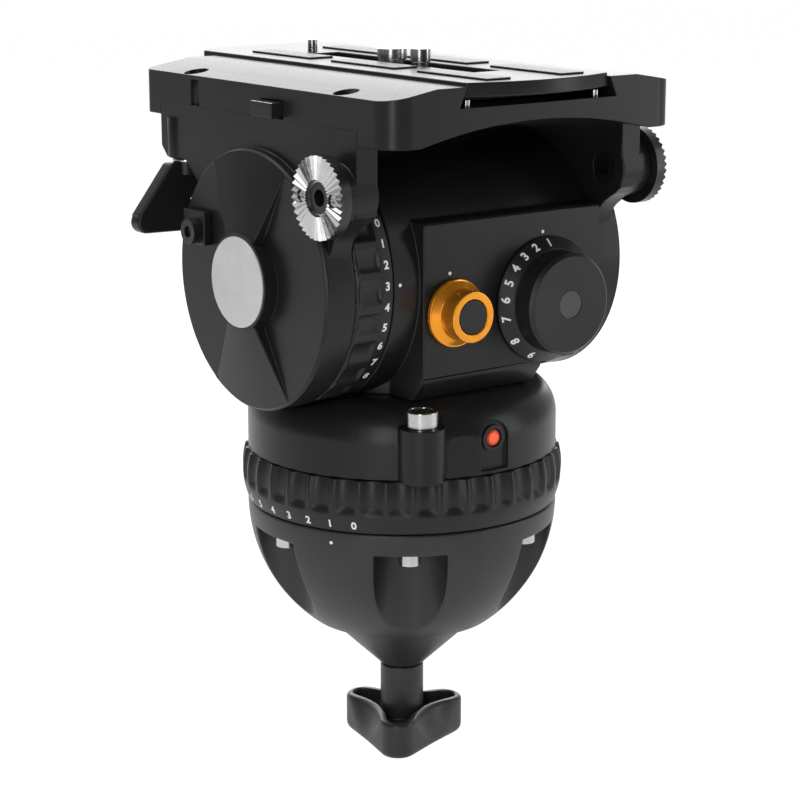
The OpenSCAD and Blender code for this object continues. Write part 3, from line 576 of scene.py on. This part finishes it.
def knob_plan(off, lobe):
    """Reach of the knob's plain plan, three round lobes and flat sides, off degrees from a lobe."""
    lobe_end = math.radians(15)
    angle = math.radians(off)
    flat = (KNOB_LOBE_AT / 2 + lobe) / math.cos(math.radians(60 - off))
    across = KNOB_LOBE_AT * math.sin(angle)
    if across >= lobe:
        return flat
    round_end = KNOB_LOBE_AT * math.cos(angle) + math.sqrt(lobe ** 2 - across ** 2)
    if angle < lobe_end:
        return min(flat, round_end)
    return max(min(flat, KNOB_REACH), round_end)


def knob_outline(turn, below, inset):
    """Reach of the knob in a direction, at a depth below its top, drawn in by inset.

    The flanks are hollowed between the lobes, and the creases are softened and blurred.
    """
    blurs = range(-KNOB_BLUR, KNOB_BLUR + 1)
    reach = 0
    for blur in blurs:
        off = abs((turn + blur - KNOB_TURN + 60) % 120 - 60)
        side = math.radians(60 - off)
        plan = knob_plan(off, KNOB_LOBE - inset)
        flank = KNOB_FLANK_AT - KNOB_WAIST + inset - KNOB_DRAFT * below
        across = KNOB_FLANK_AT * math.sin(side)
        waist = plan + KNOB_SOFT
        if across < flank:
            waist = KNOB_FLANK_AT * math.cos(side) - math.sqrt(flank ** 2 - across ** 2)
        shared = max(0, KNOB_SOFT - abs(plan - waist)) / KNOB_SOFT
        reach += (min(plan, waist) - shared ** 2 * KNOB_SOFT / 4) / len(blurs)
    return reach


class HEAD_OT_tie_down(Operator):
    """Makes the cup, stem and three-lobed knob under the ball"""
    bl_idname = "head.tie_down"
    bl_label = "Tie-down"

    def execute(self, context):
        soften("tie_cup", sizes().edge, finish="cast_black")
        self.knob()
        soften("tie_stud", sizes().fine_edge)
        return {"FINISHED"}

    def knob(self):
        """A turned blank, its walls then pushed out to the lobes and in to the waists."""
        base, stem_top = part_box("tie_knob")[0][2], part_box("tie_knob")[1][2]
        top = base + KNOB_HEIGHT
        floor = top - KNOB_RECESS
        foot, edge = sizes().knob_base, sizes().edge
        lip, rim, fillet = KNOB_LIP, KNOB_INNER_LIP, KNOB_FILLET
        blank, hollow = 40 * MM, 30 * MM
        rows, facets = 14, 180
        low, high = base + foot, top - lip
        bore_floor = base + KNOB_BORE_FLOOR
        profile = [(0, base)] + arc(blank - foot, base + foot, foot, -90, 0)
        profile += [(blank, low + (high - low) * row / rows) for row in range(1, rows)]
        profile += arc(blank - lip, top - lip, lip, 0, 90)
        profile += arc(hollow + rim, top - rim, rim, 90, 180)
        profile += arc(hollow - fillet, floor + fillet, fillet, 0, -90)
        profile += arc(KNOB_STEM + fillet, floor + fillet, fillet, -90, -180)
        profile += arc(KNOB_STEM - edge, stem_top - edge, edge, 0, 90)
        profile += [(KNOB_BORE, stem_top), (KNOB_BORE, bore_floor), (0, bore_floor)]
        bm = turned(profile, (0, 0, 0), (0, 0, 1), facets)
        for vert in bm.verts:
            radius = vert.co.xy.length
            if radius < hollow - 2 * rim:
                continue
            turn = math.degrees(math.atan2(vert.co.x, -vert.co.y))
            if radius > (blank + hollow) / 2:
                wanted = knob_outline(turn, top - vert.co.z, 0) + radius - blank
            else:
                wanted = knob_outline(turn, 0, KNOB_RIM) + radius - hollow
            vert.co.xy *= wanted / radius
        place_skin(bm, "tie_knob", finish="cast_black")


class HEAD_OT_pan_ring(Operator):
    """Makes the fluted pan drag ring"""
    bl_idname = "head.pan_ring"
    bl_label = "Pan Drag Ring"

    def execute(self, context):
        low, high = PAN_RING[0][2], PAN_RING[1][2]
        outer, inner = PAN_RING[1][0], BALL_R - 3.55 * MM
        wall = inner + 1 * MM
        widest, barrel = low + (high - low) * 0.59, 24 * MM
        edge, rows, facets = 0.5 * MM, 34, 12
        flute_start, flute_full, flute_share = low + 5.4 * MM, low + 8.4 * MM, 0.42
        first, last = low + edge, high - edge
        heights = [first + (last - first) * row / rows for row in range(rows + 1)]
        bulge = [math.sqrt(barrel ** 2 - (z - widest) ** 2) for z in heights]
        side = [(outer - barrel + out, z) for out, z in zip(bulge, heights)]
        foot = arc(side[0][0] - edge, first, edge, -90, 0)[:-1]
        rim = arc(side[-1][0] - edge, last, edge, 0, 90)[1:]
        profile = [(inner, low)] + foot + side + rim + [(inner, high)]
        bm = turned(profile, (0, 0, 0), (0, 0, 1), PAN_FLUTES * facets)
        for vert in bm.verts:
            radius = math.hypot(vert.co.x, vert.co.y)
            if radius < wall:
                continue
            depth = sizes().pan_flute * smooth_step(flute_start, flute_full, vert.co.z)
            depth *= scoop(math.atan2(vert.co.x, -vert.co.y), PAN_FLUTES, flute_share)
            vert.co.xy *= 1 - depth / radius
        place(bm, "pan_ring_fluted", "pan_ring", "black_plastic", ("pan_drag_ring",))
        return {"FINISHED"}


class HEAD_OT_pan_housing(Operator):
    """Makes the pan housing with its level and light"""
    bl_idname = "head.pan_housing"
    bl_label = "Pan Housing"

    def execute(self, context):
        soften("pan_housing", sizes().edge * 0.7, 3)
        soften("level_body", sizes().fine_edge * 2)
        soften("level_vial", sizes().fine_edge * 2)
        soften("light_bezel", sizes().fine_edge)
        soften("light_button", sizes().edge, 3)
        return {"FINISHED"}


class HEAD_OT_tilt_body(Operator):
    """Makes the tilt body with its dial panel"""
    bl_idname = "head.tilt_body"
    bl_label = "Tilt Body"

    def execute(self, context):
        soften("tilt_body", sizes().edge, 3)
        return {"FINISHED"}


class HEAD_OT_tilt_ring(Operator):
    """Makes the fluted tilt drag ring"""
    bl_idname = "head.tilt_ring"
    bl_label = "Tilt Drag Ring"

    def execute(self, context):
        low, high = TILT_RING[0][0], TILT_RING[1][0]
        outer = TILT_RING[1][2] - TILT_Z
        inner = 31.05 * MM
        wall = inner + 1 * MM
        chamfer, step, edge = 1 * MM, TILT_DROP, 0.3 * MM
        rows, facets, flute_share = 24, 16, 0.36
        band = high - TILT_BAND
        flute_start, flute_full = low + 0.6 * MM, low + 2.2 * MM
        flute_end, flute_fade = band - 0.1 * MM, band - 1.6 * MM
        grip = band - low - chamfer - step
        side = [(outer - chamfer, low), (outer, low + chamfer)]
        side += [(outer, low + chamfer + grip * row / rows) for row in range(1, rows + 1)]
        side += [(outer - step, band), (outer - step, high)]
        profile = [(inner, low)] + side + [(inner, high)]
        bm = turned(profile, (0, 0, TILT_Z), (1, 0, 0), TILT_FLUTES * facets)
        for vert in bm.verts:
            up = vert.co.z - TILT_Z
            radius = math.hypot(vert.co.y, up)
            if radius < wall:
                continue
            depth = sizes().tilt_flute
            depth *= smooth_step(flute_start, flute_full, vert.co.x)
            depth *= smooth_step(flute_end, flute_fade, vert.co.x)
            depth *= scoop(math.atan2(up, vert.co.y), TILT_FLUTES, flute_share)
            vert.co.y *= 1 - depth / radius
            vert.co.z = TILT_Z + up * (1 - depth / radius)
        round_edges(bm, edge, angle=50)
        place(bm, "tilt_ring_fluted", "tilt_ring", "black_plastic", ("tilt_drag_ring",))
        return {"FINISHED"}


class HEAD_OT_selector(Operator):
    """Makes the orange selector knob with its dark inset"""
    bl_idname = "head.selector"
    bl_label = "Selector Knob"

    def execute(self, context):
        low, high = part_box("selector_knob")
        flange = high[0] - KNOB_X
        nose = flange - 2.6 * MM
        tip = high[1] - low[1]
        bore, seat, edge = 3.02 * MM, tip - 1.2 * MM, 0.35 * MM
        profile = [
            (bore, 0), (flange, 0), (flange, 1.5 * MM), (flange - 0.5 * MM, 1.7 * MM),
            (nose, 3.4 * MM), (nose, tip), (nose - 2.3 * MM, tip), (nose - 2.6 * MM, seat),
            (bore, seat),
        ]
        bm = turned(rounded(profile, edge), (KNOB_X, high[1], KNOB_Z), (0, -1, 0))
        place(bm, "selector_turned", "selector", "orange_alu", ("selector_knob",))
        soften("selector_inset", sizes().fine_edge)
        return {"FINISHED"}


class HEAD_OT_balance_dial(Operator):
    """Makes the counterbalance dial with its skirt and cap"""
    bl_idname = "head.balance_dial"
    bl_label = "Counterbalance Dial"

    def execute(self, context):
        low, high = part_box("balance_dial")
        skirt = high[0] - DIAL_X
        grip = skirt - 3.9 * MM
        tip = high[1] - low[1]
        bore, cap, seat = 4.02 * MM, 4.4 * MM, tip - 0.8 * MM
        bevel, edge = 1.1 * MM, 0.4 * MM
        profile = [
            (bore, 0), (skirt, 0), (skirt, 0.7 * MM), (grip + 0.4 * MM, 3.9 * MM),
            (grip, 4.1 * MM), (grip, tip - bevel), (grip - bevel, tip),
            (cap, tip - 0.1 * MM), (cap, seat), (bore, seat),
        ]
        bm = turned(rounded(profile, edge), (DIAL_X, high[1], DIAL_Z), (0, -1, 0))
        place(bm, "balance_turned", "dial", "black_plastic", ("balance_dial",))
        soften("balance_cap", sizes().fine_edge, finish="cap_grey")
        return {"FINISHED"}


class HEAD_OT_arms(Operator):
    """Makes the two arms with their hubs, badge, cover and stop"""
    bl_idname = "head.arms"
    bl_label = "Arms"

    def execute(self, context):
        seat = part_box("left_arm")[1][2] - 4 * MM
        boss_low, boss_radius = seat - 2 * MM, 9 * MM
        notch, notch_size = Vector((54.6, -51, 102)) * MM, 3.5 * MM
        step_low, step_high = 56.4 * MM, 58.4 * MM
        bore, rim_inner, rim_outer = 16 * MM, 36 * MM, 43 * MM
        fine = 0.16 * MM

        def below_seat(edge):
            """Edges under the platform, apart from the lever's boss and the thin front notch."""
            middle = middle_of(edge)
            in_boss = (middle.xy - LEVER.xy).length < boss_radius and middle.z > boss_low
            mirrored = Vector((abs(middle.x), middle.y, middle.z))
            in_notch = (mirrored - notch).length < notch_size
            below = max(vert.co.z for vert in edge.verts) < seat
            return below and not in_boss and not in_notch

        def low_step(edge):
            """Edges of the hub's bore and of the low step round its rim."""
            middle = middle_of(edge)
            reach = math.hypot(middle.y, middle.z - TILT_Z)
            on_rim = step_low < abs(middle.x) < step_high and rim_inner < reach < rim_outer
            return reach < bore or on_rim

        for arm in ("left_arm", "right_arm"):
            bm = solid_copy(arm)
            round_edges(
                bm, fine, segments=3,
                chosen=lambda edge: below_seat(edge) and low_step(edge),
            )
            round_edges(
                bm, sizes().edge * 1.2, segments=3,
                chosen=lambda edge: below_seat(edge) and not low_step(edge),
            )
            place_skin(bm, arm)
        for disc in ("left_badge", "right_cover"):
            soften(disc, sizes().fine_edge * 1.5, 3)
        soften("hub_stop", sizes().edge)
        soften("hub_stop_screw", sizes().fine_edge)
        self.rosettes()
        return {"FINISHED"}

    def rosettes(self):
        """The handle rosettes, bright on their toothed faces and dark behind."""
        facing, tooth = 0.2, 20
        for node, side in (("left_rosette", -1), ("right_rosette", 1)):
            rosette = place_skin(solid_copy(node), node, sharp=tooth)
            rosette.data.materials.append(finish_of("dark_steel"))
            for face in rosette.data.polygons:
                if face.normal.x * side < facing:
                    face.material_index = 1


class HEAD_OT_platform(Operator):
    """Makes the tilt platform and the pieces on its rails"""
    bl_idname = "head.platform"
    bl_label = "Tilt Platform"

    def execute(self, context):
        screw_head, pocket = 3.1 * MM, 5 * MM
        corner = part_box("platform_screws")[1]
        screw = Vector((corner[0], corner[1])) - Vector((screw_head, screw_head))

        def clear_of_pockets(edge):
            middle = middle_of(edge)
            return (Vector((abs(middle.x), abs(middle.y))) - screw).length > pocket

        soften("platform", sizes().fine_edge * 1.2, chosen=clear_of_pockets)
        soften("platform_screws", sizes().fine_edge)
        soften("stop_pins", sizes().fine_edge)
        self.safety_tab()
        return {"FINISHED"}

    def safety_tab(self):
        """The tab in the left rail, with a painted highlight in bright steel on its top and its outer front edge.
        """
        tab = soften("safety_tab", sizes().edge)
        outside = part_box("platform")[0][0]
        upward, slanting = 0.5, 0.4
        # Upward faces and the outer front edge get bright steel as a painted highlight
        tab.data.materials.append(finish_of("bright_steel"))
        for face in tab.data.polygons:
            outer_front = face.normal.x < -slanting and face.normal.y < -slanting
            painted_sheen = face.normal.z > upward or outer_front
            if painted_sheen and face.center.x < outside:
                face.material_index = 1


class HEAD_OT_clamp(Operator):
    """Makes the clamp lever with its spindle and washer"""
    bl_idname = "head.clamp"
    bl_label = "Clamp Lever"

    def execute(self, context):
        hub = 7 * MM

        def at_spindle(edge):
            return all((vert.co.xy - LEVER.xy).length < hub for vert in edge.verts)

        bm = solid_copy("clamp_lever")
        round_edges(bm, sizes().fine_edge, segments=3, chosen=at_spindle)
        round_edges(
            bm, sizes().edge * 2.2, segments=4,
            chosen=lambda edge: not at_spindle(edge),
        )
        place_skin(bm, "clamp_lever")
        soften("clamp_washers", sizes().fine_edge)
        return {"FINISHED"}


class HEAD_OT_camera_plate(Operator):
    """Makes the sliding camera plate with pads, screws and pin"""
    bl_idname = "head.camera_plate"
    bl_label = "Camera Plate"

    def execute(self, context):
        soften("camera_plate", sizes().edge, 3)
        soften("plate_pads", sizes().fine_edge * 1.4)
        for node in ("screw_small", "screw_large", "plate_pin"):
            soften(node, sizes().fine_edge)
        return {"FINISHED"}


class HEAD_OT_inner_parts(Operator):
    """Gives the solids that stay as they are their finishes"""
    bl_idname = "head.inner_parts"
    bl_label = "Solids As They Are"

    def execute(self, context):
        for node, solid in frame["nodes"].items():
            solid.data.materials.clear()
            solid.data.materials.append(finish_of(NODE_SLOT[node]))
        return {"FINISHED"}


def figure_mesh(text, height):
    """A figure as a flat mesh about the origin, up along Y, facing Z."""
    size, boldness = 1.4, 0.045
    curve = bpy.data.curves.new("figure", "FONT")
    curve.body = text
    curve.align_x = "CENTER"
    curve.align_y = "CENTER"
    curve.size = height * size
    curve.offset = height * boldness
    curve.resolution_u = 4
    holder = bpy.data.objects.new("figure", curve)
    mesh = bpy.data.meshes.new_from_object(holder)
    bpy.data.objects.remove(holder)
    bpy.data.curves.remove(curve)
    return mesh


def print_into(bm, mesh, at, right, up):
    """Adds a flat print to bm, centred at a point, and gives it its depth."""
    out = right.cross(up)
    turn = Matrix((right, up, out)).transposed().to_4x4()
    mesh.transform(Matrix.Translation(at) @ turn)
    before = set(bm.faces)
    bm.from_mesh(mesh)
    bpy.data.meshes.remove(mesh)
    faces = [face for face in bm.faces if face not in before]
    grown = bmesh.ops.extrude_face_region(bm, geom=faces)
    moved = [item for item in grown["geom"] if isinstance(item, bmesh.types.BMVert)]
    bmesh.ops.translate(bm, verts=moved, vec=-out * sizes().print_depth)


def dot_mesh(radius):
    """A flat dot about the origin, facing Z."""
    bm = bmesh.new()
    bmesh.ops.create_circle(bm, cap_ends=True, segments=24, radius=radius)
    mesh = bpy.data.meshes.new("dot")
    bm.to_mesh(mesh)
    bm.free()
    return mesh


def round_pan(degrees):
    """Outward and sideways at an angle round the pan axis."""
    angle = math.radians(degrees)
    out = Vector((math.sin(angle), -math.cos(angle), 0))
    return out, Vector((math.cos(angle), math.sin(angle), 0))


def round_tilt(degrees):
    """Outward and upward at an angle round the tilt axis."""
    angle = math.radians(degrees)
    out = Vector((0, -math.cos(angle), math.sin(angle)))
    return out, Vector((0, math.sin(angle), math.cos(angle)))


class HEAD_OT_figures(Operator):
    """Prints the figures and index dots"""
    bl_idname = "head.figures"
    bl_label = "Figures and Dots"

    def finish(self, bm, name, body):
        """Places a print on its body."""
        bmesh.ops.recalc_face_normals(bm, faces=bm.faces)
        place(bm, name, body, "print")

    def execute(self, context):
        self.pan_ring()
        self.tilt_ring()
        self.dial()
        self.panel_dots()
        self.ball_dot()
        return {"FINISHED"}

    def pan_ring(self):
        bm = bmesh.new()
        height = Vector((0, 0, PAN_RING[0][2] + 2.4 * MM))
        radius = PAN_RING[1][0] - 1.17 * MM
        for figure in range(9):
            out, right = round_pan(PAN_INDEX - (figure - 1) * PAN_STEP)
            up = (Vector((0, 0, 1)) + out * PAN_LEAN).normalized()
            at = out * radius + height + right.cross(up) * LIFT
            print_into(bm, figure_mesh(str(figure), sizes().figure), at, right, up)
        self.finish(bm, "pan_figures", "pan_ring")

    def tilt_ring(self):
        bm = bmesh.new()
        centre = Vector((TILT_RING[1][0] - 2.0 * MM, 0, TILT_Z))
        radius = TILT_RING[1][2] - TILT_Z - TILT_DROP
        at_index = 3
        for figure in range(9):
            out, up = round_tilt(TILT_INDEX + (at_index - figure) * TILT_STEP)
            at = centre + out * (radius + LIFT)
            print_into(bm, figure_mesh(str(figure), sizes().figure), at, Vector((1, 0, 0)), up)
        self.finish(bm, "tilt_figures", "tilt_ring")

    def dial(self):
        bm = bmesh.new()
        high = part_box("balance_dial")[1]
        centre = Vector((DIAL_X, high[1] - 2.3 * MM, DIAL_Z))
        radius = high[0] - DIAL_X - 1.75 * MM
        slope = math.atan2(3.2, 3.5)
        for figure, turn in enumerate(DIAL_SCALE, 1):
            angle = math.radians(turn)
            out = Vector((-math.sin(angle), 0, math.cos(angle)))
            right = Vector((math.cos(angle), 0, math.sin(angle)))
            up = out * math.cos(slope) + Vector((0, 1, 0)) * math.sin(slope)
            at = centre + out * radius + right.cross(up) * LIFT
            print_into(bm, figure_mesh(str(figure), sizes().dial_figure), at, right, up)
        self.finish(bm, "balance_figures", "dial")

    def panel_dots(self):
        """The dots over the dial and the selector, and the one beside the tilt ring."""
        bm = bmesh.new()
        side = Vector((1, 0, 0))
        over_dial = (DIAL_X - 1.3 * MM, TILT_Z + 12.4 * MM)
        over_selector = (KNOB_X - 1.5 * MM, TILT_Z + 3.3 * MM)
        for x, z in (over_dial, over_selector):
            at = Vector((x, PANEL_Y - LIFT, z))
            print_into(bm, dot_mesh(sizes().dot), at, side, Vector((0, 0, 1)))
        out, up = round_tilt(TILT_INDEX)
        drum = TILT_RING[1][2] - TILT_Z
        at = Vector((TILT_RING[1][0] + 2.3 * MM, 0, TILT_Z)) + out * (drum + LIFT)
        print_into(bm, dot_mesh(sizes().dot), at, side, up)
        self.finish(bm, "index_dots", "pan")

    def ball_dot(self):
        bm = bmesh.new()
        z = -3.6 * MM
        out, right = round_pan(PAN_INDEX)
        at = out * math.sqrt(BALL_R ** 2 - z ** 2) + Vector((0, 0, z))
        face = at.normalized()
        print_into(bm, dot_mesh(sizes().dot), at + face * LIFT, right, face.cross(right))
        self.finish(bm, "ball_dot", "ball")


def area_light(name, at, target, width, depth, watts):
    """A soft rectangular light aimed at a point."""
    lamp = bpy.data.lights.new(name, "AREA")
    lamp.shape = "RECTANGLE"
    lamp.size = width
    lamp.size_y = depth
    lamp.energy = watts
    holder = bpy.data.objects.new(name, lamp)
    bpy.context.scene.collection.objects.link(holder)
    holder.location = at
    holder.rotation_euler = (Vector(target) - Vector(at)).to_track_quat("-Z", "Y").to_euler()


class HEAD_OT_stage(Operator):
    """Makes the floor, light and camera"""
    bl_idname = "head.stage"
    bl_label = "Studio"

    def execute(self, context):
        studio = context.scene.head_studio
        self.floor(studio)
        self.world(studio)
        middle, upper = (0, 0, 0.03), (0, 0, 0.1)
        area_light(
            "top_softbox", (-0.1, 0.25, 1.0), middle,
            width=1.2, depth=1.0, watts=studio.top_light,
        )
        area_light(
            "left_softbox", (-0.85, -0.7, 0.3), middle,
            width=0.2, depth=1.1, watts=studio.left_light,
        )
        area_light(
            "right_strip", (0.85, -0.75, 0.25), middle,
            width=0.25, depth=1.0, watts=studio.right_light,
        )
        area_light(
            "back_softbox", (0.6, 0.95, 0.42), upper,
            width=1.5, depth=0.8, watts=studio.back_light,
        )
        self.camera(context)
        context.scene.view_settings.view_transform = "Standard"
        return {"FINISHED"}

    def floor(self, studio):
        """A pale floor that glows to the camera and, less, in reflections."""
        bm = bmesh.new()
        bmesh.ops.create_grid(bm, x_segments=1, y_segments=1, size=FLOOR_HALF)
        bmesh.ops.translate(bm, verts=bm.verts, vec=(0, 0, CAD_BOX[0][2] - studio.drop))
        mesh = bpy.data.meshes.new("floor")
        bm.to_mesh(mesh)
        bm.free()
        material, tree, shader = node_tree("studio_floor")
        shader.inputs["Base Color"].default_value = list(colours().floor) + [1]
        shader.inputs["Roughness"].default_value = FLOOR_ROUGH
        glow = tree.nodes.new("ShaderNodeEmission")
        glow.inputs["Strength"].default_value = FLOOR_GLOW
        path = tree.nodes.new("ShaderNodeLightPath")
        mirrored = combined(tree, "MULTIPLY", path.outputs["Is Glossy Ray"], FLOOR_MIRROR)
        seen = combined(tree, "MAXIMUM", path.outputs["Is Camera Ray"], mirrored)
        share = combined(tree, "MULTIPLY", seen, FLOOR_SHARE)
        mix = mixed(tree, share, shader.outputs["BSDF"], glow.outputs["Emission"])
        tree.links.new(mix, tree.nodes["Material Output"].inputs["Surface"])
        mesh.materials.append(material)
        floor = bpy.data.objects.new("floor", mesh)
        bpy.context.scene.collection.objects.link(floor)

    def world(self, studio):
        """White to the camera, a soft fill, and in reflections bright behind and dark in front."""
        world = bpy.data.worlds.new("studio")
        bpy.context.scene.world = world
        world.use_nodes = True
        tree = world.node_tree
        room = tree.nodes["Background"]
        white = tree.nodes.new("ShaderNodeBackground")
        mirrored = tree.nodes.new("ShaderNodeBackground")
        for lit in (room, white, mirrored):
            lit.inputs["Color"].default_value = (1, 1, 1, 1)
        room.inputs["Strength"].default_value = studio.ambient
        toward = tree.nodes.new("ShaderNodeTexCoord")
        behind = tree.nodes.new("ShaderNodeVectorMath")
        behind.operation = "DOT_PRODUCT"
        behind.inputs[1].default_value = MIRROR_SIDE
        tree.links.new(toward.outputs["Generated"], behind.inputs[0])
        fade = map_range(tree, behind.outputs["Value"], *MIRROR_FADE, *MIRROR_LIGHT)
        tree.links.new(fade, mirrored.inputs["Strength"])
        rays = tree.nodes.new("ShaderNodeLightPath").outputs
        seen = combined(tree, "MAXIMUM", rays["Is Camera Ray"], rays["Is Transmission Ray"])
        dark, bright = room.outputs["Background"], mirrored.outputs["Background"]
        reflected = mixed(tree, rays["Is Glossy Ray"], dark, bright)
        mix = mixed(tree, seen, reflected, white.outputs["Background"])
        tree.links.new(mix, tree.nodes["World Output"].inputs["Surface"])

    def camera(self, context):
        """The camera that sees the head as the photo does."""
        lens = bpy.data.cameras.new("photo_view")
        lens.sensor_width = CAMERA_SENSOR
        lens.lens = CAMERA_LENS
        lens.shift_x = CAMERA_SHIFT
        view = bpy.data.objects.new("photo_view", lens)
        context.scene.collection.objects.link(view)
        view.location = CAMERA_AT
        view.rotation_euler = CAMERA_TURN
        context.scene.camera = view


GROUPS = {"head_sizes": HeadSizes, "head_colours": HeadColours, "head_studio": HeadStudio}
STEPS = (
    HEAD_OT_inner_parts, HEAD_OT_half_ball, HEAD_OT_tie_down, HEAD_OT_pan_ring,
    HEAD_OT_pan_housing, HEAD_OT_tilt_body, HEAD_OT_tilt_ring, HEAD_OT_selector,
    HEAD_OT_balance_dial, HEAD_OT_arms, HEAD_OT_platform, HEAD_OT_clamp,
    HEAD_OT_camera_plate, HEAD_OT_figures, HEAD_OT_stage,
)


class HEAD_PT_sidebar(Panel):
    bl_idname = "HEAD_PT_sidebar"
    bl_label = "Video Head"
    bl_space_type = "VIEW_3D"
    bl_region_type = "UI"
    bl_category = "Video Head"

    def draw(self, context):
        column = self.layout.column(align=True)
        for step in STEPS:
            column.operator(step.bl_idname)
        for name, group in GROUPS.items():
            box = self.layout.box()
            for field in group.__annotations__:
                box.prop(getattr(context.scene, name), field)


def register():
    for group in GROUPS.values():
        bpy.utils.register_class(group)
    for name, group in GROUPS.items():
        setattr(bpy.types.Scene, name, PointerProperty(type=group))
    for step in STEPS:
        bpy.utils.register_class(step)
    bpy.utils.register_class(HEAD_PT_sidebar)


def unregister():
    bpy.utils.unregister_class(HEAD_PT_sidebar)
    for step in reversed(STEPS):
        bpy.utils.unregister_class(step)
    for name, group in GROUPS.items():
        delattr(bpy.types.Scene, name)
        bpy.utils.unregister_class(group)


def main():
    register()
    bpy.ops.head.inner_parts()
    bpy.ops.head.half_ball()
    bpy.ops.head.tie_down()
    bpy.ops.head.pan_ring()
    bpy.ops.head.pan_housing()
    bpy.ops.head.tilt_body()
    bpy.ops.head.tilt_ring()
    bpy.ops.head.selector()
    bpy.ops.head.balance_dial()
    bpy.ops.head.arms()
    bpy.ops.head.platform()
    bpy.ops.head.clamp()
    bpy.ops.head.camera_plate()
    bpy.ops.head.figures()
    bpy.ops.head.stage()


if __name__ == "__main__":
    main()
